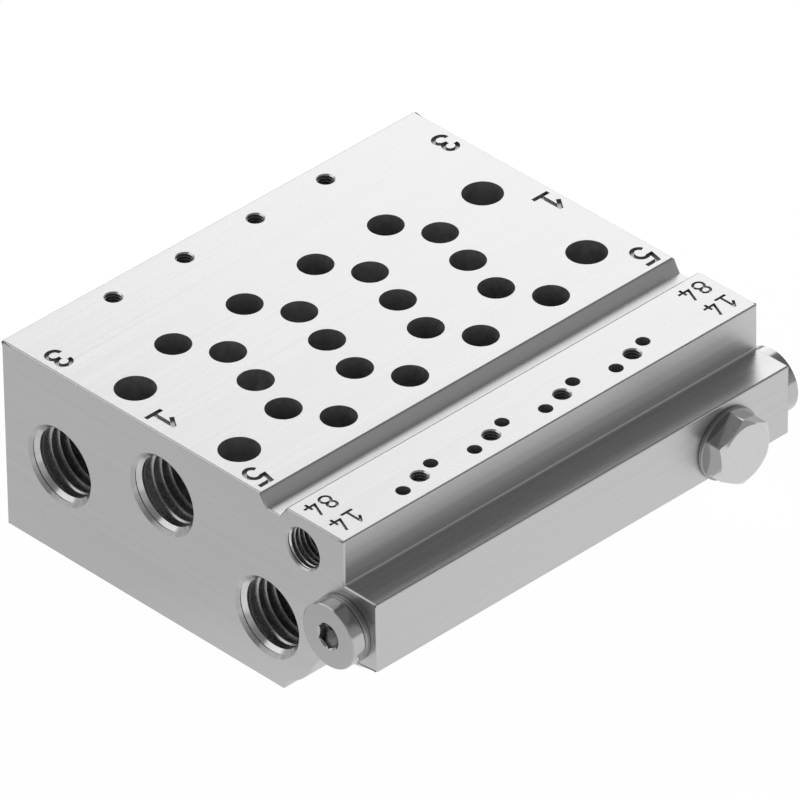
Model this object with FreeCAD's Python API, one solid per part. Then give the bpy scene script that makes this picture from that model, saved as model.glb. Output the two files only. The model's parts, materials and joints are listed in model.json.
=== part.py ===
import FreeCAD, Part
import math
import os

# Valve manifold base for a row of narrow five-port valves: one machined block of extruded
# section, with three main ducts, two pilot ducts, and plugs where a pilot port isn't used.
# Frame: X along the row of valves, -Y towards the pilot nose, +Z up, in millimetres.
# The origin is the middle of the four mounting holes, on the bottom face.

# Row of valve stations
station_count = 4
station_pitch = 19.0
near_margin = 25.2
far_margin = 28.8

# Section of the block, in the Y-Z plane
block_height = 43.3
back_y = 44.5
foot_y = -32.7
foot_side_angle = 63.0
back_round = 0.8
edge_break = 0.25
groove_back_y = -27.6
groove_width = 7.0
groove_depth = 2.75
groove_side_run = 1.9
strip_front_y = -50.3
nose_top_z = 33.0
nose_face_y = -58.9
nose_lip_z = 17.2
nose_underside_angle = 12.6
wall_over_low_duct = 4.65
underside_blend_r = 12.0

# Main ports at both ends of ducts 1, 3 and 5: thread 3/8, drawn at its core diameter.
# Duct 1 is the narrowest, to pass between the drillings of ports 2 and 4.
main_bore_d = 14.95
main_mouth_d = 17.7
main_thread_len = 12.0
duct1_y = 0.0
duct1_z = 29.0
duct1_d = 12.0
duct3_y = 28.9
duct3_z = 21.3
duct5_y = -28.7
duct5_z = 14.8
exhaust_duct_d = 14.0

# Pilot ports 14 and 84, working ports 2 and 4: thread 1/8, drawn at its core diameter.
# Duct 84 is narrower between its threads, to pass behind the front valve screws, and
# duct 14 keeps the core's bore from end to end.
small_bore_d = 8.6
small_mouth_d = 9.4
small_thread_len = 9.0
duct14_inset = 8.7
duct14_y = nose_face_y + duct14_inset
duct14_z = 23.6
duct84_y = -39.0
duct84_z = 36.0
duct84_d = 8.0

# Holes under each valve; the ports sit on two staggered lines beside the station's middle
valve_hole_d = 7.4
stagger = 2.8
outer_hole_y = 20.0
inner_hole_y = 10.6
pilot_hole_d = 3.0
pilot14_dx = -5.6
pilot14_dy = 4.0
pilot14_y = duct14_y + pilot14_dy
pilot84_dx = 4.35
pilot84_y = -43.5
screw_core_d = 3.3
screw_depth = 6.5
screw_back_y = 39.75
screw_front_y = -45.0

# Working ports in the back face, drilled on to their valve holes: port 2 passes over
# duct 3, and port 4 under it
port2_dx = 6.2
port2_z = 34.0
port4_dx = -3.3
port4_z = 8.5
working_duct_d = 8.0

# Mounting holes through the block
mount_hole_d = 8.4
mount_spacing_x = 93.2
mount_spacing_y = 28.8

# Screw plugs and their seals; the shank is drawn at the thread's core diameter
shank_clearance = 0.05
shank_len = 7.0
seal_thickness = 1.2
seal_d = 14.2
seal_hole_d = 9.9
collar_d = 14.0
collar_height = 3.3
collar_chamfer = 0.35
socket_flats = 5.0
socket_depth = 5.0
side_plug_x = 40.1
side_shank_len = 4.5
side_seal_thickness = 1.0
side_seal_d = 15.6
head_flats = 13.0
head_height = 4.4
head_face_d = 12.3

first_x = -0.5 * (station_count - 1) * station_pitch
stations = [first_x + i * station_pitch for i in range(station_count)]
near_x = first_x - near_margin
far_x = -first_x + far_margin
along_x = FreeCAD.Vector(1, 0, 0)
along_y = FreeCAD.Vector(0, 1, 0)
along_z = FreeCAD.Vector(0, 0, 1)


def in_section(y, z):
    """A point of the block's section, drawn at the near end."""
    return FreeCAD.Vector(near_x, y, z)


def towards(start, end, distance):
    """The point at a distance from start on the way to end."""
    step = end - start
    return start + step * (distance / step.Length)


def broken_corner(before, corner, after):
    """A sharp corner of the section with its edge broken: two points in its place."""
    return [towards(corner, before, edge_break), towards(corner, after, edge_break)]


def arc_between(centre, start, end):
    """The shorter arc about a centre from start to end."""
    middle = (start - centre) + (end - centre)
    through = centre + middle * ((start - centre).Length / middle.Length)
    return Part.Arc(start, through, end).toShape()


def underside_edges(lip, foot):
    """The nose's sloping underside, a hollow blend, the round wall under duct 5, and the foot."""
    duct = in_section(duct5_y, duct5_z)
    wall_r = 0.5 * main_mouth_d + wall_over_low_duct
    slope = math.radians(nose_underside_angle)
    inward = FreeCAD.Vector(0, math.cos(slope), -math.sin(slope))
    down = FreeCAD.Vector(0, -math.sin(slope), -math.cos(slope))
    offset = lip + down * underside_blend_r - duct
    run = offset.dot(inward)
    reach = wall_r + underside_blend_r
    length = -run - math.sqrt(run * run - offset.dot(offset) + reach * reach)
    slope_end = lip + inward * length
    blend = slope_end + down * underside_blend_r
    blend_end = towards(duct, blend, wall_r)
    lean = math.radians(foot_side_angle)
    rising = FreeCAD.Vector(0, -math.cos(lean), math.sin(lean))
    back = foot - duct
    half = back.dot(rising)
    rise = -half - math.sqrt(half * half - back.dot(back) + wall_r * wall_r)
    foot_top = foot + rising * rise
    return slope_end, [
        arc_between(blend, slope_end, blend_end),
        arc_between(duct, blend_end, foot_top),
        Part.LineSegment(foot_top, foot).toShape(),
    ]


def section_face():
    """The closed section of the extruded bar."""
    top = block_height
    floor_z = top - groove_depth
    groove_front_y = groove_back_y - groove_width
    heel = in_section(back_y, 0)
    crown = in_section(back_y, top)
    groove_back = in_section(groove_back_y, top)
    floor_back = in_section(groove_back_y - groove_side_run, floor_z)
    floor_front = in_section(groove_front_y + groove_side_run, floor_z)
    groove_front = in_section(groove_front_y, top)
    strip_front = in_section(strip_front_y, top)
    nose_root = in_section(strip_front_y, nose_top_z)
    nose_top = in_section(nose_face_y, nose_top_z)
    lip = in_section(nose_face_y, nose_lip_z)
    foot = in_section(foot_y, 0)
    slope_end, underside = underside_edges(lip, foot)
    heel_side = towards(heel, crown, back_round)
    heel_foot = towards(heel, foot, back_round)
    outline = [heel_side]
    outline += broken_corner(heel, crown, groove_back)
    outline += broken_corner(crown, groove_back, floor_back)
    outline += [floor_back, floor_front]
    outline += broken_corner(floor_front, groove_front, strip_front)
    outline += broken_corner(groove_front, strip_front, nose_root)
    outline += [nose_root]
    outline += broken_corner(nose_root, nose_top, lip)
    outline += broken_corner(nose_top, lip, slope_end)
    outline += [slope_end]
    edges = [Part.LineSegment(a, b).toShape() for a, b in zip(outline, outline[1:])]
    edges += underside
    edges.append(Part.LineSegment(foot, heel_foot).toShape())
    round_centre = heel_side + (heel_foot - heel)
    edges.append(arc_between(round_centre, heel_foot, heel_side))
    return Part.Face(Part.Wire(edges))


def rod(start, direction, diameter, length):
    """A straight round tool."""
    return Part.makeCylinder(0.5 * diameter, length, start, direction)


def open_port(mouth, inward, core_d, mouth_d):
    """The countersink at the mouth of a tapped hole."""
    depth = 0.5 * (mouth_d - core_d)
    return Part.makeCone(0.5 * mouth_d, 0.5 * core_d, depth, mouth, inward)


def duct_tools(y, z, duct_d, core_d, thread_len):
    """A duct from end to end, opened to the thread's core at both ends."""
    near = FreeCAD.Vector(near_x, y, z)
    far = FreeCAD.Vector(far_x, y, z)
    tools = [rod(near, along_x, duct_d, far_x - near_x)]
    if duct_d < core_d:
        tools.append(rod(near, along_x, core_d, thread_len))
        tools.append(rod(far, along_x * -1, core_d, thread_len))
    return tools


def mouth_tools(y, z, core_d, mouth_d):
    """The countersinks at both ends of a duct."""
    near = FreeCAD.Vector(near_x, y, z)
    far = FreeCAD.Vector(far_x, y, z)
    return [
        open_port(near, along_x, core_d, mouth_d),
        open_port(far, along_x * -1, core_d, mouth_d),
    ]


def drop(x, y, diameter, bottom_z):
    """A hole drilled from the top face down to a height."""
    return rod(FreeCAD.Vector(x, y, block_height), along_z * -1, diameter, block_height - bottom_z)


def working_port(x, z, valve_hole_y):
    """The thread's core in the back face, and the drilling on into its valve hole."""
    mouth = FreeCAD.Vector(x, back_y, z)
    depth = back_y - valve_hole_y
    return [
        rod(mouth, along_y * -1, small_bore_d, small_thread_len),
        rod(mouth, along_y * -1, working_duct_d, depth),
    ]


def station_tools(x):
    """The holes of one valve station, each drilled into the duct that it serves."""
    deeper = 0.25 * valve_hole_d
    tools = [
        drop(x - stagger, outer_hole_y, valve_hole_d, duct3_z - deeper),
        drop(x + stagger, inner_hole_y, valve_hole_d, port2_z),
        drop(x, duct1_y, valve_hole_d, duct1_z),
        drop(x - stagger, -inner_hole_y, valve_hole_d, port4_z),
        drop(x + stagger, -outer_hole_y, valve_hole_d, duct5_z - deeper),
        drop(x + pilot14_dx, pilot14_y, pilot_hole_d, duct14_z),
        drop(x + pilot84_dx, pilot84_y, pilot_hole_d, duct84_z),
        drop(x, screw_back_y, screw_core_d, block_height - screw_depth),
        drop(x, screw_front_y, screw_core_d, block_height - screw_depth),
    ]
    tools += working_port(x + port2_dx, port2_z, inner_hole_y)
    tools += working_port(x + port4_dx, port4_z, -inner_hole_y)
    return tools


def manifold_block():
    """The bar cut to length, with its ducts, ports and holes."""
    bar = section_face().extrude(FreeCAD.Vector(far_x - near_x, 0, 0))
    tools = duct_tools(duct1_y, duct1_z, duct1_d, main_bore_d, main_thread_len)
    tools += duct_tools(duct3_y, duct3_z, exhaust_duct_d, main_bore_d, main_thread_len)
    tools += duct_tools(duct5_y, duct5_z, exhaust_duct_d, main_bore_d, main_thread_len)
    tools += duct_tools(duct14_y, duct14_z, small_bore_d, small_bore_d, small_thread_len)
    tools += duct_tools(duct84_y, duct84_z, duct84_d, small_bore_d, small_thread_len)
    for y, z in ((duct1_y, duct1_z), (duct3_y, duct3_z), (duct5_y, duct5_z)):
        tools += mouth_tools(y, z, main_bore_d, main_mouth_d)
    tools += mouth_tools(duct84_y, duct84_z, small_bore_d, small_mouth_d)
    for x in stations:
        tools += station_tools(x)
    for x in (-0.5 * mount_spacing_x, 0.5 * mount_spacing_x):
        for y in (-0.5 * mount_spacing_y, 0.5 * mount_spacing_y):
            tools.append(drop(x, y, mount_hole_d, 0))
    side_mouth = FreeCAD.Vector(side_plug_x, nose_face_y, duct14_z)
    tools.append(rod(side_mouth, along_y, small_bore_d, duct14_y - nose_face_y))
    return bar.cut(tools).removeSplitter()


def ring(seat, outward, diameter, hole_d, thickness):
    """A flat sealing ring on its seat."""
    disc = rod(seat, outward, diameter, thickness)
    return disc.cut(rod(seat, outward, hole_d, thickness))


def hexagon(centre, axis, flats, length):
    """A six-sided prism along X or Y with one corner straight up."""
    side = axis.cross(along_z)
    corner_r = flats / math.sqrt(3)
    corners = []
    for i in range(6):
        angle = i * math.pi / 3
        corners.append(centre + (along_z * math.cos(angle) + side * math.sin(angle)) * corner_r)
    face = Part.Face(Part.makePolygon(corners + corners[:1]))
    return face.extrude(axis * length)


def shank(seat, outward, length):
    """A plug's threaded end, from its head's underside into the block."""
    return rod(seat, outward * -1, small_bore_d - 2 * shank_clearance, length)


def socket_plug(mouth, outward):
    """A collar plug with a hexagon socket, screwed down on its seal."""
    seat = mouth + outward * seal_thickness
    face = seat + outward * collar_height
    collar = rod(seat, outward, collar_d, collar_height - collar_chamfer)
    face_d = collar_d - 2 * collar_chamfer
    rim = Part.makeCone(0.5 * collar_d, 0.5 * face_d, collar_chamfer,
                        face - outward * collar_chamfer, outward)
    body = collar.fuse([rim, shank(seat, outward, seal_thickness + shank_len)])
    body = body.cut(hexagon(face, outward * -1, socket_flats, socket_depth))
    return body.removeSplitter()


def side_plug(mouth, outward):
    """A hexagon-head plug, its face turned round, screwed down on its seal."""
    seat = mouth + outward * side_seal_thickness
    head = hexagon(seat, outward, head_flats, head_height)
    corner_r = head_flats / math.sqrt(3)
    fall = (corner_r - 0.5 * head_face_d) * math.tan(math.radians(30))
    envelope = rod(seat, outward, 2 * corner_r, head_height - fall)
    turned = Part.makeCone(corner_r, 0.5 * head_face_d, fall,
                           seat + outward * (head_height - fall), outward)
    head = head.common(envelope.fuse(turned))
    return head.fuse(shank(seat, outward, side_seal_thickness + side_shank_len)).removeSplitter()


def save(shape, node):
    """Write one piece, which has to be a single sound solid."""
    solids = shape.Solids
    if len(solids) != 1 or not solids[0].isValid():
        raise ValueError(node + " is not one sound solid")
    solids[0].exportStep("parts/" + node + ".step")
    print(node, "volume %.0f mm3" % solids[0].Volume)


os.makedirs("parts", exist_ok=True)
near_mouth = FreeCAD.Vector(near_x, duct14_y, duct14_z)
far_mouth = FreeCAD.Vector(far_x, duct14_y, duct14_z)
side_port = FreeCAD.Vector(side_plug_x, nose_face_y, duct14_z)
save(manifold_block(), "manifold_block")
save(socket_plug(near_mouth, along_x * -1), "near_pilot_plug")
save(ring(near_mouth, along_x * -1, seal_d, seal_hole_d, seal_thickness), "near_plug_seal")
save(socket_plug(far_mouth, along_x), "far_pilot_plug")
save(ring(far_mouth, along_x, seal_d, seal_hole_d, seal_thickness), "far_plug_seal")
save(side_plug(side_port, along_y * -1), "side_hex_plug")
save(ring(side_port, along_y * -1, side_seal_d, seal_hole_d, side_seal_thickness), "side_plug_seal")
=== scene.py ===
# %% [markdown]
# # A valve manifold base, dressed in Blender
#
# A manifold base carries a row of pneumatic valves. It is a length of extruded aluminium bar:
# its ends are sawn and milled, its ports and ducts are drilled and tapped, and the port
# numbers are engraved beside the holes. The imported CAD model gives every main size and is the
# fixed frame here. What the drawing leaves out is made below: cut threads, engraving, small
# broken edges, and the finish of each metal. All lengths are in metres, so a millimetre gets
# a name of its own.

# %% Load the frame
import json
import math

import bmesh
import bpy
from mathutils import Matrix, Vector


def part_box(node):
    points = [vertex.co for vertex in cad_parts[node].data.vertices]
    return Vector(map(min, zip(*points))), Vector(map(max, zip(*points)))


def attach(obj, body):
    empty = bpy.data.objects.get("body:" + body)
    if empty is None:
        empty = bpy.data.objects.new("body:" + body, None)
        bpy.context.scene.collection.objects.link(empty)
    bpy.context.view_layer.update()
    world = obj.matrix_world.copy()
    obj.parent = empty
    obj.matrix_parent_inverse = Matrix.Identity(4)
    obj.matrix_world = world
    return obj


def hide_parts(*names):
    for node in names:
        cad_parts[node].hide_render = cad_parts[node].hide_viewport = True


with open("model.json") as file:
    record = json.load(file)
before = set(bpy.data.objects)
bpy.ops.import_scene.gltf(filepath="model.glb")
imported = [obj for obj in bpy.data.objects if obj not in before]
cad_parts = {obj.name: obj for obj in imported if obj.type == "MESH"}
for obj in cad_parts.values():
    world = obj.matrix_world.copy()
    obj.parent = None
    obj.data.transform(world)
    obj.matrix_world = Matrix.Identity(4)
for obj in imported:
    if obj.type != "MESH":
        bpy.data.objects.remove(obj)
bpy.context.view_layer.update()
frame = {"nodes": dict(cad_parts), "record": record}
mounts = {mount["name"]: mount for mount in frame["record"]["mounts"]}
mm = 0.001
print("CAD nodes:", ", ".join(sorted(frame["nodes"])))

# %% [markdown]
# ## The camera
#
# Product pictures of such parts are nearly isometric: a very long lens, far away, so that
# parallel edges stay parallel. The camera could be placed by hand and aimed with a constraint.
# Here its three axes are worked out from an azimuth, an elevation and a small roll, because
# then each number means one thing.

# %% Camera
azimuth, elevation, roll = math.radians(-43.716), math.radians(35.067), -0.0157
distance = 2.7318
aim = Vector((1.761, -41.173, 0)) * mm
slide_right, slide_up = -23.317 * mm, 35.912 * mm

backward = Vector((math.sin(azimuth) * math.cos(elevation),
                   -math.cos(azimuth) * math.cos(elevation),
                   math.sin(elevation)))
level_right = Vector((math.cos(azimuth), math.sin(azimuth), 0))
level_up = backward.cross(level_right)
right = level_right * math.cos(roll) + level_up * math.sin(roll)
up = level_up * math.cos(roll) - level_right * math.sin(roll)

camera = bpy.data.objects.new("camera", bpy.data.cameras.new("camera"))
camera.data.sensor_width = 36
camera.data.lens = 637.75
camera.data.clip_end = 100
turn = Matrix((right, up, backward)).transposed().to_4x4()
place = aim + backward * distance + right * slide_right + up * slide_up
camera.matrix_world = Matrix.Translation(place) @ turn
bpy.context.scene.collection.objects.link(camera)
bpy.context.scene.camera = camera
print("camera at", [round(value, 3) for value in place])

# %% [markdown]
# ## Floor and light
#
# Bare metal has no colour of its own to speak of: it shows its surroundings. A white floor
# gives the upright faces their even grey. Two softboxes behind the part make the top nearly
# white, and a dim grey room keeps the inner corners dark. The floor glows for the camera a
# hair above the strength of white, and keeps a little plain paint so that a faint shadow stays
# under the part. In the metal's reflections its glow carries a painted shade, darker towards the
# back left, which greys the ends. A lamp could whiten the floor too, but it would wash out the
# metal.


# %% Floor
def new_material(name):
    """A material with its nodes on and empty."""
    material = bpy.data.materials.new(name)
    material.use_nodes = True
    material.node_tree.nodes.clear()
    return material


def add(tree, kind, **settings):
    """One node, with its settings."""
    node = tree.nodes.new(kind)
    for name, value in settings.items():
        setattr(node, name, value)
    return node


def link_all(tree, *pairs):
    """Joins sockets, two by two."""
    for output, socket in pairs:
        tree.links.new(output, socket)


def white_sweep(paint_share, left_shade):
    """Paper white: it glows where it is seen, and keeps some paint for the shadow. In the
    metal's reflections its glow is painted darker towards the back left, a painted shade for the
    side away from the lamps."""
    material = new_material("white_sweep")
    tree = material.node_tree
    rays = add(tree, "ShaderNodeLightPath")
    place = add(tree, "ShaderNodeTexCoord")
    to_right = add(tree, "ShaderNodeVectorMath", operation="DOT_PRODUCT")
    to_right.inputs[1].default_value = (0.707, -0.707, 0)
    # Painted shade: in reflections the floor's glow falls to left_shade towards the back left.
    fall = add(tree, "ShaderNodeMapRange")
    fall.inputs["From Min"].default_value = -0.05
    fall.inputs["From Max"].default_value = 0.03
    fall.inputs["To Min"].default_value = left_shade
    fall.inputs["To Max"].default_value = 1
    strength = add(tree, "ShaderNodeMix", data_type="FLOAT")
    strength.inputs["B"].default_value = 1.055
    seen = add(tree, "ShaderNodeMath", operation="MAXIMUM")
    seen_through = add(tree, "ShaderNodeMath", operation="MAXIMUM")
    share = add(tree, "ShaderNodeMath", operation="MULTIPLY")
    share.inputs[1].default_value = 1 - paint_share
    paint = add(tree, "ShaderNodeBsdfDiffuse")
    paint.inputs["Color"].default_value = (0.9, 0.9, 0.9, 1)
    glow = add(tree, "ShaderNodeEmission")
    mix = add(tree, "ShaderNodeMixShader")
    output = add(tree, "ShaderNodeOutputMaterial")
    link_all(tree,
             (place.outputs["Object"], to_right.inputs[0]),
             (to_right.outputs["Value"], fall.inputs["Value"]),
             (rays.outputs["Is Camera Ray"], strength.inputs["Factor"]),
             (fall.outputs["Result"], strength.inputs["A"]),
             (strength.outputs["Result"], glow.inputs["Strength"]),
             (rays.outputs["Is Camera Ray"], seen.inputs[0]),
             (rays.outputs["Is Glossy Ray"], seen.inputs[1]),
             (seen.outputs[0], seen_through.inputs[0]),
             (rays.outputs["Is Transmission Ray"], seen_through.inputs[1]),
             (seen_through.outputs[0], share.inputs[0]),
             (share.outputs[0], mix.inputs["Fac"]),
             (paint.outputs[0], mix.inputs[1]),
             (glow.outputs[0], mix.inputs[2]),
             (mix.outputs[0], output.inputs["Surface"]))
    return material


def object_from(name, vertices, faces):
    """A mesh object made from plain lists."""
    mesh = bpy.data.meshes.new(name)
    mesh.from_pydata(vertices, [], faces)
    mesh.update()
    piece = bpy.data.objects.new(name, mesh)
    bpy.context.scene.collection.objects.link(piece)
    return piece


half_floor = 4.0
floor_drop = 0.05 * mm
floor = object_from(
    "floor",
    [(x, y, -floor_drop) for x, y in ((-half_floor, -half_floor), (half_floor, -half_floor),
                                      (half_floor, half_floor), (-half_floor, half_floor))],
    [(0, 1, 2, 3)])
floor.data.materials.append(white_sweep(0.08, 0.7))
print("floor", 2 * half_floor, "m square")

# %% Softbox and room


def softbox(name, centre, target, width, height, watts):
    """An area lamp that looks at a point, and isn't seen itself."""
    lamp = bpy.data.lights.new(name, "AREA")
    lamp.shape = "RECTANGLE"
    lamp.size = width
    lamp.size_y = height
    lamp.energy = watts
    piece = bpy.data.objects.new(name, lamp)
    piece.location = centre
    piece.rotation_euler = (Vector(target) - Vector(centre)).to_track_quat("-Z", "Y").to_euler()
    piece.visible_camera = False
    bpy.context.scene.collection.objects.link(piece)
    radiance = watts / (math.pi * width * height)
    print(name, "radiance %.2f" % radiance)
    return piece


def watts_for(radiance, width, height):
    """The power at which a lamp of this size shows at a given brightness."""
    return radiance * math.pi * width * height


for name, centre, width, height, radiance in (
        ("right_softbox", (0.91, 0.60, 0.62), 1.0, 0.8, 1.39),
        ("left_softbox", (-0.62, 0.62, 0.62), 0.8, 0.8, 0.72)):
    softbox(name, centre, (0, 0, 0.03), width, height, watts_for(radiance, width, height))

low_grey = 0.4
overhead_grey = 0.2
room = bpy.data.worlds.new("room")
room.use_nodes = True
tree = room.node_tree
direction = add(tree, "ShaderNodeTexCoord")
height = add(tree, "ShaderNodeSeparateXYZ")
grey = add(tree, "ShaderNodeMapRange")
grey.inputs["From Min"].default_value = 0.3
grey.inputs["From Max"].default_value = 0.55
grey.inputs["To Min"].default_value = low_grey
grey.inputs["To Max"].default_value = overhead_grey
link_all(tree,
         (direction.outputs["Generated"], height.inputs[0]),
         (height.outputs["Z"], grey.inputs["Value"]),
         (grey.outputs["Result"], tree.nodes["Background"].inputs["Color"]))
bpy.context.scene.world = room
bpy.context.scene.view_settings.view_transform = "Standard"
print("room grey", low_grey, "low down,", overhead_grey, "overhead")

# %% [markdown]
# ## Shared effects
#
# Two effects are used by more than one metal. *Cut marks* are the fine straight lines that a
# mill, a saw or an extrusion die leaves. An image could carry them, but noise that is
# stretched along one direction does the same at any scale. *Facing* tells which way a face
# looks, so that one block can have a milled top and sawn ends. Both are node groups with named
# sockets, and they put out only masks and heights.


# %% Node groups
def new_group(name, inputs, outputs):
    """A shader node group with named number or vector sockets."""
    group = bpy.data.node_groups.new(name, "ShaderNodeTree")
    for socket, kind, value in inputs:
        made = group.interface.new_socket(socket, in_out="INPUT", socket_type=kind)
        made.default_value = value
    for socket in outputs:
        group.interface.new_socket(socket, in_out="OUTPUT", socket_type="NodeSocketFloat")
    return group, add(group, "NodeGroupInput"), add(group, "NodeGroupOutput")


def cut_marks_group():
    """Noise stretched along one direction: 0 to 1 around a half."""
    group, given, result = new_group(
        "cut_marks",
        [("Stretch", "NodeSocketVector", (40, 3000, 3000)), ("Detail", "NodeSocketFloat", 3)],
        ["Marks"])
    place = add(group, "ShaderNodeTexCoord")
    stretch = add(group, "ShaderNodeVectorMath", operation="MULTIPLY")
    noise = add(group, "ShaderNodeTexNoise")
    noise.inputs["Scale"].default_value = 1
    noise.inputs["Roughness"].default_value = 0.6
    link_all(group,
             (place.outputs["Object"], stretch.inputs[0]),
             (given.outputs["Stretch"], stretch.inputs[1]),
             (stretch.outputs[0], noise.inputs["Vector"]),
             (given.outputs["Detail"], noise.inputs["Detail"]),
             (noise.outputs["Fac"], result.inputs["Marks"]))
    return group


def facing_group():
    """1 where a face looks along the bar, and 1 where it looks to the nose side."""
    group, given, result = new_group("facing", [], ["End", "Front"])
    shape = add(group, "ShaderNodeNewGeometry")
    split = add(group, "ShaderNodeSeparateXYZ")
    along = add(group, "ShaderNodeMath", operation="ABSOLUTE")
    is_end = add(group, "ShaderNodeMath", operation="GREATER_THAN")
    is_end.inputs[1].default_value = 0.95
    is_front = add(group, "ShaderNodeMath", operation="LESS_THAN")
    is_front.inputs[1].default_value = -0.95
    link_all(group,
             (shape.outputs["True Normal"], split.inputs[0]),
             (split.outputs["X"], along.inputs[0]),
             (along.outputs[0], is_end.inputs[0]),
             (split.outputs["Y"], is_front.inputs[0]),
             (is_end.outputs[0], result.inputs["End"]),
             (is_front.outputs[0], result.inputs["Front"]))
    return group


cut_marks = cut_marks_group()
facing = facing_group()
print("groups:", cut_marks.name, facing.name)

# %% [markdown]
# ## Milled, drilled and engraved aluminium
#
# The block is bare aluminium. Its long faces carry faint lines along the bar and its ends carry
# lines across it, from the saw. Colour and roughness follow the marks a little, and a weak
# bump breaks up the reflection of the softboxes. The holes are the same metal with another
# finish: a drill leaves a dull wall, a countersink and a tap a brighter one, and the engraving
# is rougher and has a painted shade, a lower grey for the inside of its grooves. One finish
# could serve them all, but the holes would look painted in, so each gets a material of its own
# from the same few nodes.


# %% Aluminium
def place_group(tree, group, **values):
    """A group node with its own values."""
    node = add(tree, "ShaderNodeGroup", node_tree=group)
    for name, value in values.items():
        node.inputs[name].default_value = value
    return node


def map_range(tree, source, low, high, start=0.25, end=0.75):
    """A value that runs from low to high as the source runs from start to end."""
    node = add(tree, "ShaderNodeMapRange")
    node.inputs["From Min"].default_value = start
    node.inputs["From Max"].default_value = end
    node.inputs["To Min"].default_value = low
    node.inputs["To Max"].default_value = high
    tree.links.new(source, node.inputs["Value"])
    return node.outputs["Result"]


def choose(tree, mask, when_off, when_on):
    """One value or the other, by a mask."""
    node = add(tree, "ShaderNodeMix", data_type="FLOAT")
    tree.links.new(mask, node.inputs["Factor"])
    tree.links.new(when_off, node.inputs["A"])
    tree.links.new(when_on, node.inputs["B"])
    return node.outputs["Result"]


def grey_metal(tree, grey, roughness, height, bump):
    """A metal whose grey, roughness and bump come from values."""
    shader = add(tree, "ShaderNodeBsdfPrincipled")
    shader.inputs["Metallic"].default_value = 1
    colour = add(tree, "ShaderNodeCombineColor")
    relief = add(tree, "ShaderNodeBump")
    relief.inputs["Distance"].default_value = 0.02 * mm
    relief.inputs["Strength"].default_value = bump
    output = add(tree, "ShaderNodeOutputMaterial")
    link_all(tree,
             (grey, colour.inputs[0]),
             (grey, colour.inputs[1]),
             (grey, colour.inputs[2]),
             (colour.outputs[0], shader.inputs["Base Color"]),
             (roughness, shader.inputs["Roughness"]),
             (height, relief.inputs["Height"]),
             (relief.outputs[0], shader.inputs["Normal"]),
             (shader.outputs[0], output.inputs["Surface"]))


def milled_aluminium():
    """Bare aluminium with lines along the bar, and sawn ends."""
    material = new_material("milled_aluminium")
    tree = material.node_tree
    along = place_group(tree, cut_marks, Stretch=(9, 1000, 1000), Detail=4)
    across = place_group(tree, cut_marks, Stretch=(900, 12, 900), Detail=4)
    where = place_group(tree, facing)
    marks = choose(tree, where.outputs["End"], along.outputs["Marks"], across.outputs["Marks"])
    bar_grey = map_range(tree, marks, 0.58, 0.66)
    end_grey = map_range(tree, marks, 0.59, 0.64)
    grey = choose(tree, where.outputs["End"], bar_grey, end_grey)
    smooth_side = map_range(tree, marks, 0.24, 0.34)
    dull_side = map_range(tree, marks, 0.38, 0.48)
    roughness = choose(tree, where.outputs["Front"], smooth_side, dull_side)
    grey_metal(tree, grey, roughness, marks, 0.1)
    return material


def bore_metal(name, grey, roughness, fineness):
    """Aluminium inside a hole or a groove, with rings or chatter from the tool."""
    material = new_material(name)
    tree = material.node_tree
    marks = place_group(tree, cut_marks, Stretch=(fineness, fineness, fineness), Detail=2)
    grey_value = map_range(tree, marks.outputs["Marks"], grey * 0.92, grey * 1.08)
    rough_value = map_range(tree, marks.outputs["Marks"], roughness * 0.9, roughness * 1.1)
    grey_metal(tree, grey_value, rough_value, marks.outputs["Marks"], 0.05)
    return material


aluminium = milled_aluminium()
drilled = bore_metal("drilled_aluminium", 0.62, 0.5, 900)
tapped = bore_metal("tapped_aluminium", 0.62, 0.26, 1500)
countersunk = bore_metal("countersunk_aluminium", 0.74, 0.2, 400)
# The engraving's low grey of 0.42 is a painted shade for the inside of its narrow grooves; its
# higher roughness is the cutter's finish.
shaded_engraving = bore_metal("engraving_painted_shade", 0.42, 0.36, 2200)
for material in (aluminium, drilled, countersunk, tapped, shaded_engraving):
    print("material", material.name)

# %% [markdown]
# ## Thread cutters
#
# A tapped hole is a bore with a helical groove round it. A picture of rings would do from
# afar, but from this close the crests must wind. Each cutter is one closed solid: a grid of
# points round the axis whose rows drop by one pitch per turn and trace a ridge with steep
# flanks, and a fan that closes each end. Taking it away from the block leaves the CAD's bore
# as the crests of the thread. The ridge grows from nothing over a third of a turn, because a
# groove that starts at its full depth would show as a step.


# %% Thread cutter
def pose_along(mouth, outward):
    """The frame of a hole: its Z axis points out of the block."""
    outward = Vector(outward).normalized()
    side = Vector((0, 0, 1)) if abs(outward.z) < 0.5 else Vector((0, 1, 0))
    across = side.cross(outward).normalized()
    turn = Matrix((across, outward.cross(across), outward)).transposed().to_4x4()
    return Matrix.Translation(mouth) @ turn


class Tool:
    """Closed shells that are cut away or added together. They may not touch each other."""

    def __init__(self, name, material):
        self.name = name
        self.material = material
        self.vertices = []
        self.faces = []

    def add_shell(self, pose, vertices, faces):
        first = len(self.vertices)
        self.vertices += [pose @ Vector(vertex) for vertex in vertices]
        self.faces += [tuple(first + index for index in face) for face in faces]

    def build(self):
        piece = object_from(self.name, self.vertices, self.faces)
        piece.data.materials.append(self.material)
        mesh = bmesh.new()
        mesh.from_mesh(piece.data)
        bmesh.ops.remove_doubles(mesh, verts=mesh.verts, dist=0.0001 * mm)
        bmesh.ops.recalc_face_normals(mesh, faces=mesh.faces)
        open_edges = sum(1 for edge in mesh.edges if len(edge.link_faces) != 2)
        mesh.to_mesh(piece.data)
        mesh.free()
        print(self.name, len(piece.data.polygons), "faces,", open_edges, "open edges")
        return piece


def groove_profile(core_r, groove_depth, pitch, land=0.05):
    """One pitch of a thread groove with steep flanks, as (share of the pitch, radius)."""
    flank = groove_depth / math.tan(math.radians(62)) / pitch
    root_r = core_r + groove_depth
    return [(land, core_r), (land + flank, root_r), (1 - flank, root_r), (1, core_r)]


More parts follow.
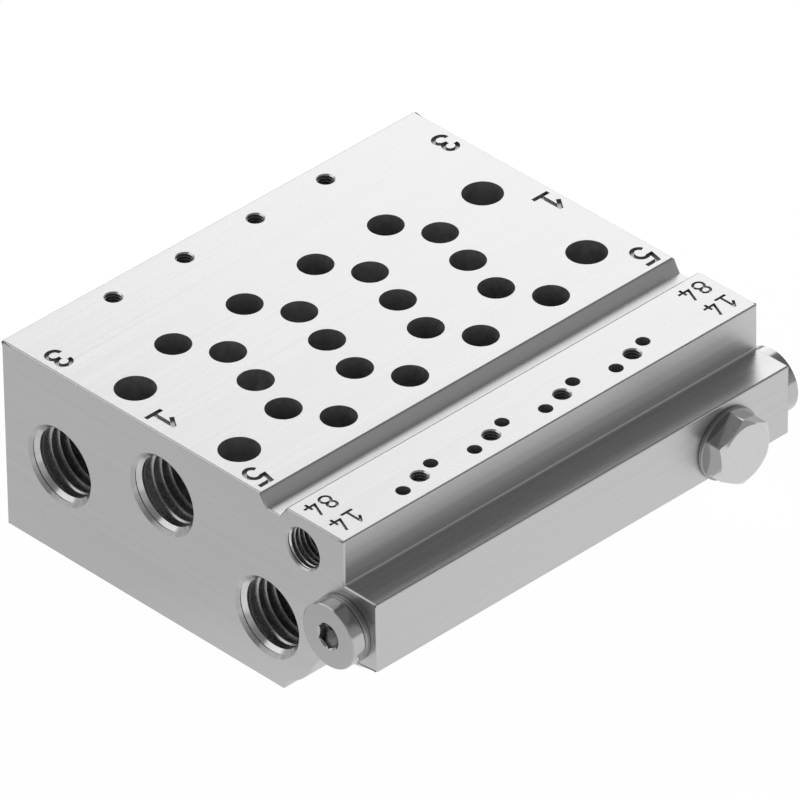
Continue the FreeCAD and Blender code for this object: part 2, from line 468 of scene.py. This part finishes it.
def thread_shell(core_r, groove_depth, pitch, depth, steps, lead_in=0.56):
    """A right-hand thread cutter. Its first groove deepens over a third of a turn and passes
    the mouth (Z = 0) in the first half turn, so it has to start in a countersink or relief."""
    share = groove_profile(core_r, groove_depth, pitch)
    turns = int((depth + lead_in * pitch) / pitch)
    rows = len(share) * turns + 1
    vertices = []
    for step in range(steps + 1):
        angle = -2 * math.pi * step / steps
        run_in = min(1, 3 * step / steps)
        for row in range(rows):
            place, radius = share[row % len(share)]
            if row < len(share):
                radius = core_r + run_in * (radius - core_r)
            z = lead_in * pitch - pitch * (row // len(share) + place + step / steps)
            vertices.append((radius * math.cos(angle), radius * math.sin(angle), z))
    faces = []
    for step in range(steps):
        for row in range(rows - 1):
            corner = step * rows + row
            faces.append((corner, corner + 1, corner + rows + 1, corner + rows))
    last = steps * rows
    top_loop = [step * rows for step in range(steps + 1)] + list(range(len(share) - 1, 0, -1))
    end_loop = [step * rows + rows - 1 for step in range(steps + 1)]
    end_loop += [last + rows - 1 - back for back in range(1, len(share))]
    for loop, z in ((top_loop, lead_in * pitch - 0.5 * pitch),
                    (end_loop, lead_in * pitch - pitch * (turns + 0.5))):
        centre = len(vertices)
        vertices.append((0, 0, z))
        for start, end in zip(loop, loop[1:] + loop[:1]):
            faces.append((centre, start, end))
    return vertices, faces


main_thread = thread_shell(7.42 * mm, 0.62 * mm, 2.2 * mm, 10.2 * mm, 120)
small_thread = thread_shell(4.26 * mm, 0.32 * mm, 1.16 * mm, 7.4 * mm, 72)
screw_thread = thread_shell(1.62 * mm, 0.3 * mm, 0.7 * mm, 5.4 * mm, 40)
print("main thread cutter:", len(main_thread[1]), "faces")

# %% [markdown]
# ## Tapping the ports
#
# The record names each port and gives its mouth and its direction, so the cutters are set by
# those and not by measuring. A pipe thread starts a little below the face, where the
# countersink or the relief behind it ends, and a screw thread starts at the face. Each mouth is
# kept, because the countersinks go there as well.

# %% Tap every port
taps = Tool("taps", tapped)


def tap(mount_name, shell, shift):
    """Cuts a thread at a mount of the record, moved outward by a distance."""
    mount = mounts[mount_name]
    outward = Vector(mount["axis"])
    mouth = Vector(mount["pos_m"]) + outward * shift
    taps.add_shell(pose_along(mouth, outward), *shell)
    return mouth, outward


countersink_depth = 1.375 * mm
relief_end = 2.8 * mm
main_mouths = []
for port in ("1", "3", "5"):
    for end in ("near", "far"):
        start, outward = tap(end + "_port_" + port, main_thread, countersink_depth - relief_end)
        main_mouths.append((start + outward * relief_end, outward))
pilot_mouths = []
for end in ("near", "far"):
    start, outward = tap(end + "_port_84", small_thread, -0.7 * mm)
    pilot_mouths.append((start + outward * 1.1 * mm, outward))
working_ports = [name for name in mounts if name.startswith("working_port_")]
working_mouths = []
for name in working_ports:
    start, outward = tap(name, small_thread, -1.1 * mm)
    working_mouths.append((start + outward * 1.1 * mm, outward))
screw_mouths = []
for name, line in mounts.items():
    if name.startswith("station_screws_"):
        half = Vector((0, 0.5 * line["dims"]["spacing_y_mm"] * mm, 0))
        screw_mouths += [Vector(line["pos_m"]) - half, Vector(line["pos_m"]) + half]
for mouth in screw_mouths:
    taps.add_shell(pose_along(mouth, (0, 0, 1)), *screw_thread)
print(len(working_ports), "working ports,", len(screw_mouths), "valve screws")

# %% [markdown]
# ## Engraved port numbers
#
# The numbers are milled with a small straight cutter, so every stroke has one width, upright
# walls and a flat bottom. A font could be used, but the engraver's single-line figures differ
# from any printed type: the 4 is open and short-stemmed, and the 1 stands on a bar. So each
# figure is written as a few centre lines, and each line becomes a box-shaped cutter with
# mitred corners. Lines that cross go into two rounds of cutting. The cutters for countersinks
# and reliefs are made here too, as turned shapes.


# %% Figures
def bowl(u, v, half_width, half_height, start, end):
    """Points on an ellipse, from one angle to another in degrees."""
    count = max(2, round(abs(end - start) / 12))
    points = []
    for step in range(count + 1):
        angle = math.radians(start + (end - start) * step / count)
        points.append((u + half_width * math.cos(angle), v + half_height * math.sin(angle)))
    return points


# Each figure: strokes of the first round, then of the second, as (points, closed), in mm
large_figures = {
    "3": ([([(-1.4, 1.15)] + bowl(0.05, 1.37, 1.45, 1.35, 180, -90) + [(-0.35, 0.02)], False)],
          [([(-0.35, 0.02)] + bowl(0.05, -1.38, 1.55, 1.40, 90, -180) + [(-1.5, -1.25)], False)]),
    "1": ([([(0.05, -2.3), (0.05, 3.22)], False)],
          [([(-1.72, 0.42), (0.1, 3.0)], False), ([(-2.05, -2.72), (2.15, -2.72)], False)]),
    "5": ([([(2.1, 2.85), (-0.97, 2.85), (-1.45, 0.55)]
            + bowl(0.1, -1.0, 1.52, 1.75, 118, -155), False)],
          []),
}
small_figures = {
    "8": ([(bowl(0, -0.98, 1.17, 1.1, 0, 348), True)],
          [(bowl(0, 1.0, 1.0, 0.9, 0, 348), True)]),
    "4": ([([(0.24, 2.2), (-1.22, -1.28), (1.5, -1.28)], False)],
          [([(0.24, -0.25), (0.24, -2.38)], False)]),
    "1": ([([(0, -1.8), (0, 2.2)], False)],
          [([(-1.18, 0.32), (0.04, 2.05)], False), ([(-1.45, -2.05), (1.45, -2.05)], False)]),
}
print("figures:", " ".join(large_figures), "and", " ".join(small_figures))


# %% Engraving cutters
def groove_shell(points, closed, width, depth, rise=0.2):
    """A box-shaped cutter along a line, with mitred corners and a little draft."""
    count = len(points)
    line = [Vector(point) for point in points]
    vertices = []
    for i, point in enumerate(line):
        ahead = line[(i + 1) % count] - point if closed or i < count - 1 else None
        behind = point - line[i - 1] if closed or i > 0 else None
        before = (behind or ahead).normalized()
        after = (ahead or behind).normalized()
        tangent = (before + after).normalized()
        side = Vector((-tangent.y, tangent.x)) / tangent.dot(after)
        for half, z in ((0.5 * width, rise), (0.44 * width, -depth)):
            for sign in (1, -1):
                spot = point + side * (half * sign)
                vertices.append((spot.x * mm, spot.y * mm, z * mm))
    faces = []
    for i in range(count if closed else count - 1):
        a, b = 4 * i, 4 * ((i + 1) % count)
        faces += [(a, b, b + 1, a + 1), (a + 1, b + 1, b + 3, a + 3),
                  (a + 3, b + 3, b + 2, a + 2), (a + 2, b + 2, b, a)]
    if not closed:
        end = 4 * (count - 1)
        faces += [(0, 1, 3, 2), (end, end + 2, end + 3, end + 1)]
    return vertices, faces


top_z = mounts["valve_face"]["pos_m"][2]
reliefs = Tool("reliefs", countersunk)
# The strokes' cut faces take the engraving material, whose lower grey is a painted shade.
first_round = Tool("first_strokes", shaded_engraving)
second_round = Tool("second_strokes", shaded_engraving)


def engrave(figure, x, y, width, depth):
    """Cuts one figure in the top face. It reads from the -Y side, so it is turned half round."""
    pose = Matrix.Translation((x * mm, y * mm, top_z)) @ Matrix.Rotation(math.pi, 4, "Z")
    for tool, strokes in zip((first_round, second_round), figure):
        for points, closed in strokes:
            tool.add_shell(pose, *groove_shell(points, closed, width, depth))


for figure, near_x, far_x, y in (("3", -50.0, 53.9, 32.1), ("1", -50.0, 53.9, 2.95),
                                 ("5", -50.2, 53.7, -23.0)):
    for x in (near_x, far_x):
        engrave(large_figures[figure], x, y, 1.0, 0.6)
for tens, y in (("8", -38.8), ("1", -45.7)):
    for x in (-48.7, 51.6):
        engrave(small_figures[tens], x + 2.15, y, 0.62, 0.5)
        engrave(small_figures["4"], x - 1.54, y, 0.62, 0.5)
print("engraving:", len(first_round.faces) + len(second_round.faces), "faces")


# %% Countersinks and reliefs
def round_shell(rings, steps=72):
    """A turned cutter from rings (radius, height), closed by two flat ends."""
    vertices = [(radius * math.cos(2 * math.pi * i / steps) * mm,
                 radius * math.sin(2 * math.pi * i / steps) * mm, z * mm)
                for radius, z in rings for i in range(steps)]
    faces = []
    for ring in range(len(rings) - 1):
        for i in range(steps):
            a, b = ring * steps + i, ring * steps + (i + 1) % steps
            faces.append((a, b, b + steps, a + steps))
    last = (len(rings) - 1) * steps
    faces += [tuple(range(steps)), tuple(range(last + steps - 1, last - 1, -1))]
    return vertices, faces


thread_relief = round_shell([(8.15, 0.3), (8.15, -0.7), (8.35, -0.8), (8.35, -1.05),
                             (7.55, -1.9), (7.35, -2.9)])
pilot_relief = round_shell([(4.22, -0.2), (4.58, -0.5), (4.58, -0.75), (4.22, -1.2)])
port_cone = round_shell([(5.1, 0.3), (4.4, -0.4), (4.58, -0.5), (4.58, -0.75), (4.22, -1.2)])
screw_cone = round_shell([(2.25, 0.3), (1.45, -0.5)], 40)
for mouth, outward in main_mouths:
    reliefs.add_shell(pose_along(mouth, outward), *thread_relief)
for mouth, outward in pilot_mouths:
    reliefs.add_shell(pose_along(mouth, outward), *pilot_relief)
for mouth, outward in working_mouths:
    reliefs.add_shell(pose_along(mouth, outward), *port_cone)
for mouth in screw_mouths:
    reliefs.add_shell(pose_along(mouth, (0, 0, 1)), *screw_cone)
print("countersinks and reliefs:", len(reliefs.faces), "faces")

# %% [markdown]
# ## The block
#
# The block starts as a copy of the CAD mesh. Its outer edges are broken first, each in three
# small facets, so that an edge turns from light to dark to light as a filed edge does. A bevel
# modifier would also find the edges of the bores, which are sharp, so the mesh is cut a hair
# inside each end and the outlines are moved in. Every face is told whether it belongs to the
# bar, a drilled wall or a countersink, from the way it looks and where it lies. The countersinks
# of the near end keep the finish of the bar.


# %% Block mesh
def bare_copy(node, name):
    """A new object with a CAD node's shape and nothing else of it."""
    source = frame["nodes"][node].data
    piece = object_from(name, [vertex.co.copy() for vertex in source.vertices],
                        [tuple(polygon.vertices) for polygon in source.polygons])
    mesh = bmesh.new()
    mesh.from_mesh(piece.data)
    bmesh.ops.remove_doubles(mesh, verts=mesh.verts, dist=0.001 * mm)
    mesh.to_mesh(piece.data)
    mesh.free()
    return piece


# %% Broken edges
def outline_of_end(mesh, end_x):
    """The vertices round the outside of an end face, in order."""
    flat = 0.001 * mm
    rim = []
    for edge in mesh.edges:
        at_end = all(abs(vertex.co.x - end_x) < flat for vertex in edge.verts)
        if at_end and any(abs(face.normal.x) < 0.1 for face in edge.link_faces):
            rim.append(edge)
    start = max(rim, key=lambda edge: edge.verts[0].co.y)
    loop = [start.verts[0], start.verts[1]]
    while loop[-1] is not loop[0]:
        step = next(edge for edge in loop[-1].link_edges
                    if edge in rim and edge.other_vert(loop[-1]) is not loop[-2])
        loop.append(step.other_vert(loop[-1]))
    return loop[:-1]


def inward_moves(outline):
    """For each corner of a closed outline, the move that insets it by one, with mitres."""
    area = sum(a.x * b.y - b.x * a.y for a, b in zip(outline, outline[1:] + outline[:1]))
    turn = math.copysign(1, area)
    moves = []
    for before, here, after in zip(outline[-1:] + outline[:-1], outline,
                                   outline[1:] + outline[:1]):
        leaving = (after - here).normalized()
        tangent = ((here - before).normalized() + leaving).normalized()
        moves.append(Vector((-tangent.y, tangent.x)) * turn / max(0.6, tangent.dot(leaving)))
    return moves


def inset(vertices, outline, moves, size):
    """Moves the vertices that lie on an outline in by a size."""
    sides = list(zip(outline, outline[1:] + outline[:1], moves, moves[1:] + moves[:1]))
    for vertex in vertices:
        spot = vertex.co.yz
        for start, end, start_move, end_move in sides:
            run = end - start
            share = min(1, max(0, (spot - start).dot(run) / run.length_squared))
            if (start + run * share - spot).length < 0.001 * mm:
                move = start_move.lerp(end_move, share) * size
                vertex.co += Vector((0, move.x, move.y))
                break


def break_end(mesh, end_x, inward):
    """Breaks the edge round an end in three small facets. The mesh is cut at each depth first,
    so that the bar's own faces stay where they are."""
    for depth, _ in broken_edge:
        bmesh.ops.bisect_plane(mesh, geom=mesh.verts[:] + mesh.edges[:] + mesh.faces[:],
                               dist=0.0001 * mm, plane_co=(end_x + inward * depth, 0, 0),
                               plane_no=(1, 0, 0))
    outline = [vertex.co.yz for vertex in outline_of_end(mesh, end_x)]
    moves = inward_moves(outline)
    for depth, size in broken_edge:
        x = end_x + inward * depth
        inset([vertex for vertex in mesh.verts if abs(vertex.co.x - x) < 0.001 * mm],
              outline, moves, size)
    return len(outline)


def break_long_edges(mesh, reach=0.34, step_out=0.2, step_in=0.055, cad_break=0.25):
    """Turns each 45 degree facet on a long edge of the bar into three smaller ones."""
    corners = set()
    for face in mesh.faces:
        normal = face.normal
        height = max(v.co.z for v in face.verts) - min(v.co.z for v in face.verts)
        diagonal = abs(abs(normal.y) - abs(normal.z)) < 0.01 and abs(normal.x) < 0.01
        if diagonal and normal.z > 0 and abs(height - cad_break * mm) < 0.02 * mm:
            side = math.copysign(1, normal.y)
            y = max(side * v.co.y for v in face.verts) * side
            z = max(v.co.z for v in face.verts)
            corners.add((round(y / mm, 2), round(z / mm, 2), side))
    corners = sorted(corners)
    for y, z, side in corners:
        for point, normal in (((0, (y - side * reach) * mm, 0), (0, 1, 0)),
                              ((0, 0, (z - reach) * mm), (0, 0, 1))):
            bmesh.ops.bisect_plane(mesh, geom=mesh.verts[:] + mesh.edges[:] + mesh.faces[:],
                                   dist=0.0001 * mm, plane_co=point, plane_no=normal)
    for vertex in mesh.verts:
        for y, z, side in corners:
            across = (y - vertex.co.y / mm) * side
            below = z - vertex.co.z / mm
            if abs(across - cad_break) < 0.01 and abs(below) < 0.01:
                vertex.co.y = (y - side * step_out) * mm
                vertex.co.z = (z - step_in) * mm
            elif abs(across) < 0.01 and abs(below - cad_break) < 0.01:
                vertex.co.y = (y - side * step_in) * mm
                vertex.co.z = (z - step_out) * mm
    return corners


# %% Finish of each face
def finish_of(face, ducts, mouth_x):
    """Which finish a face has: 0 for the bar, 1 for a drilled wall, and 2 for a countersink
    that lies farther than mouth_x from the origin. Only the far end reaches that far."""
    x, y, z = (abs(value) for value in face.normal)
    centre = face.calc_center_median()
    middle = centre.yz
    if 0.6 < x < 0.8 and abs(centre.x) > mouth_x:
        return 2 if any((middle - axis).length < 1.3 * r for axis, r in ducts) else 0
    if x > 0.03:
        return 1 if max(y, z) > 0.03 and min(y, z) < 0.01 else 0
    return 1 if any((middle - axis).length < r for axis, r in ducts) else 0


def spread_drilled(mesh, rounds=4):
    """Gives the facets that a hole has straight along an axis the finish of those beside them."""
    before = sum(face.calc_area() for face in mesh.faces if face.material_index == 1)
    for _ in range(rounds):
        beside = []
        for edge in mesh.edges:
            faces = edge.link_faces
            if len(faces) == 2 and edge.calc_face_angle(0) < math.radians(20):
                if {faces[0].material_index, faces[1].material_index} == {0, 1}:
                    beside += faces
        for face in beside:
            face.material_index = 1
    after = sum(face.calc_area() for face in mesh.faces if face.material_index == 1)
    print("drilled walls:", round(before / mm ** 2), "then", round(after / mm ** 2), "mm2")


# %% Shape the block
broken_edge = [(depth * mm, size * mm)
               for depth, size in ((0, 0.34), (0.05, 0.23), (0.23, 0.05), (0.34, 0))]
ports = [mounts["near_port_" + port] for port in ("1", "3", "5", "84")]
ducts = [(Vector(port["pos_m"]).yz, (port["dims"]["r_mm"] + 0.1) * mm) for port in ports]
block = bare_copy("manifold_block", "machined_block")
for material in (aluminium, drilled, countersunk):
    block.data.materials.append(material)
block_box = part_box("manifold_block")
mouth_x = block_box[1].x - 1.5 * mm
mesh = bmesh.new()
mesh.from_mesh(block.data)
mesh.normal_update()
for face in mesh.faces:
    face.material_index = finish_of(face, ducts, mouth_x)
spread_drilled(mesh)
print("long edges:", break_long_edges(mesh))
for end_x, inward in ((block_box[0].x, 1), (block_box[1].x, -1)):
    print("end outline:", break_end(mesh, end_x, inward), "points")
mesh.to_mesh(block.data)
mesh.free()

# %% [markdown]
# ## Cutting the block
#
# Boolean passes add the small fillet that a round cutter leaves in front of the strip, and take
# away the threads, the countersinks and the figures. The faces they make take the cutter's
# finish. Boolean modifiers could stay live, but then every later step would work them out
# again, so each pass is applied at once. Last, edges that turn by more than 15 degrees are
# marked sharp, and the rest is shaded smooth.


# %% Boolean passes
def combine(piece, tool, operation):
    """Takes a tool away from a piece, or adds it, for good."""
    cutter = tool.build()
    change = piece.modifiers.new("cut", "BOOLEAN")
    change.operation = operation
    change.solver = "MANIFOLD"
    change.material_mode = "TRANSFER"
    change.object = cutter
    bpy.context.view_layer.update()
    result = bpy.data.meshes.new_from_object(
        piece.evaluated_get(bpy.context.evaluated_depsgraph_get()))
    piece.modifiers.clear()
    piece.data = result
    bpy.data.objects.remove(cutter)
    print("block now", len(result.polygons), "faces")


def corner_fillet(y, z, radius, short=0.35 * mm, buried=0.1 * mm, steps=7):
    """A bar with a hollow face, for the inner corner of the strip's front and the nose."""
    section = [(y - radius, z - buried), (y + buried, z - buried), (y + buried, z + radius)]
    for step in range(steps + 1):
        angle = 0.5 * math.pi * step / steps
        section.append((y - radius + radius * math.cos(angle),
                        z + radius - radius * math.sin(angle)))
    count = len(section)
    vertices = []
    for x in (block_box[0].x + short, block_box[1].x - short):
        vertices += [(x, *point) for point in section]
    faces = [tuple(range(count)), tuple(range(2 * count - 1, count - 1, -1))]
    for index in range(count):
        after = (index + 1) % count
        faces.append((index, after, after + count, index + count))
    return vertices, faces


# %% Cut the threads and figures
def crisp(piece, degrees):
    """Smooth shading, with edges over an angle kept sharp."""
    mesh = bmesh.new()
    mesh.from_mesh(piece.data)
    for face in mesh.faces:
        face.smooth = True
    for edge in mesh.edges:
        edge.smooth = edge.calc_face_angle(0) < math.radians(degrees)
    mesh.to_mesh(piece.data)
    mesh.free()


strip_front_y = -50.3 * mm
nose_top_z = 33 * mm
cutter_r = 0.5 * mm
corner = Tool("corner_fillet", aluminium)
corner.add_shell(Matrix.Identity(4), *corner_fillet(strip_front_y, nose_top_z, cutter_r))
combine(block, corner, "UNION")
for tool in (taps, reliefs, first_round, second_round):
    combine(block, tool, "DIFFERENCE")
crisp(block, 15.5)
print("block finishes:", ", ".join(material.name for material in block.data.materials))
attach(block, "root")
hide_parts("manifold_block")

# %% [markdown]
# ## Plugs and seals
#
# Pilot port 14 is closed at both ends by a collar plug with a hexagon socket, and on the nose
# by a plug with a hexagon head. Each stands on a sealing ring. They are turned parts, so they
# are built as a lathe would make them: rings of points round an axis. The screw modifier
# could turn a profile as well, but not into a hexagon. Here a ring may be a circle or the
# outline of a hexagon, and a ring that is limited by both is a hexagon with turned corners.


# %% Lathe helper
def hexagon_radius(flats, angle):
    """How far a hexagon's edge is from its middle, with a corner at angle 90 degrees."""
    sixth = math.pi / 3
    from_flat = (angle - math.pi / 2) % sixth - 0.5 * sixth
    return 0.5 * flats / math.cos(from_flat)


def lathe_angles(count=96, corner_edge=1.16):
    """Even angles round the lathe, and two more beside each corner of a hexagon."""
    angles = {360 * step / count for step in range(count)}
    for corner in range(30, 360, 60):
        angles |= {corner - corner_edge, corner + corner_edge}
    return [math.radians(angle) for angle in sorted(angles)]


def turned(name, pose, rings, corner_r=100):
    """A closed body from rings (height, radius, flats, fall). Flats of 0 is a plain circle. A
    ring with a fall drops as it gets wider than its radius, as the cone on a hexagon head
    does, and one with a negative fall rises, as the countersink of a socket does."""
    vertices = []
    angles = lathe_angles()
    steps = len(angles)
    for height, radius, flats, fall in rings:
        for angle in angles:
            r, z = radius, height
            if flats:
                r = min(radius, corner_r, hexagon_radius(flats, angle))
            if fall:
                r = min(corner_r, hexagon_radius(flats, angle))
                z = height - (r - radius) * fall
            vertices.append((r * math.cos(angle) * mm, r * math.sin(angle) * mm, z * mm))
    faces = []
    for ring in range(len(rings) - 1):
        for step in range(steps):
            following = (step + 1) % steps
            faces.append((ring * steps + step, ring * steps + following,
                          (ring + 1) * steps + following, (ring + 1) * steps + step))
    faces.append(tuple(reversed(range(steps))))
    faces.append(tuple(range((len(rings) - 1) * steps, len(rings) * steps)))
    piece = object_from(name, [pose @ Vector(vertex) for vertex in vertices], faces)
    mesh = bmesh.new()
    mesh.from_mesh(piece.data)
    bmesh.ops.recalc_face_normals(mesh, faces=mesh.faces)
    mesh.to_mesh(piece.data)
    mesh.free()
    crisp(piece, 22)
    return piece


# %% [markdown]
# ## Plated steel, stainless steel and seal metal
#
# The plugs are smoother than the block, so they mirror more of the room, and their rings are
# darker and duller. They differ only in grey and roughness, so one function makes all three,
# with very fine marks from the shared group instead of a texture of their own.


# %% Turned metals
def turned_metal(name, grey, roughness):
    """Bright turned metal with faint rings left by the tool."""
    material = new_material(name)
    tree = material.node_tree
    marks = place_group(tree, cut_marks, Stretch=(1500, 1500, 1500))
    grey_value = map_range(tree, marks.outputs["Marks"], grey * 0.97, grey * 1.03)
    rough_value = map_range(tree, marks.outputs["Marks"], roughness * 0.85, roughness * 1.15)
    grey_metal(tree, grey_value, rough_value, marks.outputs["Marks"], 0.03)
    return material


plated = turned_metal("plated_steel", 0.62, 0.15)
stainless = turned_metal("stainless_steel", 0.51, 0.16)
seal_metal = turned_metal("seal_metal", 0.36, 0.3)
print("metals:", plated.name, stainless.name, seal_metal.name)

# %% [markdown]
# ## The collar plugs
#
# A collar plug is a short threaded shank under a flat collar, with a hexagon socket for the
# key. Its edge has a small chamfer that catches the light, and the socket a turned countersink.
# Its place comes from the box of its CAD ring, so that it follows the frame. The ring is a
# closed profile of its own, which is simpler than a body with a hole.

# %% Collar plugs
near_end = block_box[0].x
far_end = block_box[1].x
nose = block_box[0].y
near_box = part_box("near_plug_seal")
duct14_y = 0.5 * (near_box[0].y + near_box[1].y)
duct14_z = 0.5 * (near_box[0].z + near_box[1].z)
hex_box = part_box("side_plug_seal")
side_x = 0.5 * (hex_box[0].x + hex_box[1].x)

socket_plug_rings = [
    (-7.0, 3.7, 0, 0), (-6.4, 4.25, 0, 0), (1.2, 4.25, 0, 0), (1.2, 6.6, 0, 0),
    (1.4, 6.75, 0, 0), (1.5, 7.0, 0, 0), (4.28, 7.0, 0, 0), (4.5, 6.78, 0, 0),
    (4.5, 2.91, 0, 0), (4.5, 2.91, 5.0, -1), (-0.1, 2.88, 5.0, 0), (-0.9, 1.4, 0, 0),
    (-1.5, 0.1, 0, 0),
]
ring_seal = [
    (0.0, 4.95, 0, 0), (0.0, 6.9, 0, 0), (0.12, 7.05, 0, 0), (0.3, 7.1, 0, 0), (0.9, 7.1, 0, 0),
    (1.08, 7.05, 0, 0), (1.2, 6.9, 0, 0), (1.2, 4.95, 0, 0),
]


def seal_piece(name, pose, profile, steps=96):
    """A ring turned from a closed profile."""
    vertices = []
    for height, radius, _, _ in profile:
        for step in range(steps):
            angle = 2 * math.pi * step / steps
            vertices.append(pose @ Vector((radius * math.cos(angle) * mm,
                                           radius * math.sin(angle) * mm, height * mm)))
    count = len(profile)
    faces = []
    for ring in range(count):
        for step in range(steps):
            following = (step + 1) % steps
            above = (ring + 1) % count
            faces.append((ring * steps + step, ring * steps + following,
                          above * steps + following, above * steps + step))
    piece = object_from(name, vertices, faces)
    mesh = bmesh.new()
    mesh.from_mesh(piece.data)
    bmesh.ops.recalc_face_normals(mesh, faces=mesh.faces)
    mesh.to_mesh(piece.data)
    mesh.free()
    crisp(piece, 35)
    return piece


def finish(piece, material, node):
    """Gives a piece its material and lets it stand for its CAD node."""
    piece.data.materials.append(material)
    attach(piece, "root")
    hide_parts(node)
    print(piece.name, len(piece.data.polygons), "faces")


for end, x, outward in (("near", near_end, -1), ("far", far_end, 1)):
    pose = pose_along(Vector((x, duct14_y, duct14_z)), (outward, 0, 0))
    finish(turned(end + "_collar_plug", pose, socket_plug_rings), stainless,
           end + "_pilot_plug")
    finish(seal_piece(end + "_ring", pose, ring_seal), seal_metal, end + "_plug_seal")

# %% [markdown]
# ## The hexagon plug
#
# The plug in the nose has a 13 mm hexagon head. Its six corners are turned off at 30 degrees,
# which leaves a curved edge on every flat. A bevel would leave straight edges, so the cone is
# worked out: the wider the hexagon is at an angle, the lower its edge lies.

# %% Hexagon plug
side_plug_rings = [
    (-4.5, 3.8, 0, 0), (-4.0, 4.25, 0, 0), (1.0, 4.25, 0, 0), (1.0, 6.3, 0, 0),
    (1.0, 7.42, 13.0, 0), (5.4, 6.15, 13.0, 0.577), (5.4, 6.15, 0, 0),
    (5.4, 0.1, 0, 0),
]
side_seal = [
    (0.0, 4.95, 0, 0), (0.0, 7.6, 0, 0), (0.12, 7.75, 0, 0), (0.25, 7.8, 0, 0), (0.75, 7.8, 0, 0),
    (0.88, 7.75, 0, 0), (1.0, 7.6, 0, 0), (1.0, 4.95, 0, 0),
]
pose = pose_along(Vector((side_x, nose, duct14_z)), (0, -1, 0))
finish(turned("hexagon_plug", pose, side_plug_rings, 7.42), plated, "side_hex_plug")
finish(seal_piece("side_ring", pose, side_seal), seal_metal, "side_plug_seal")
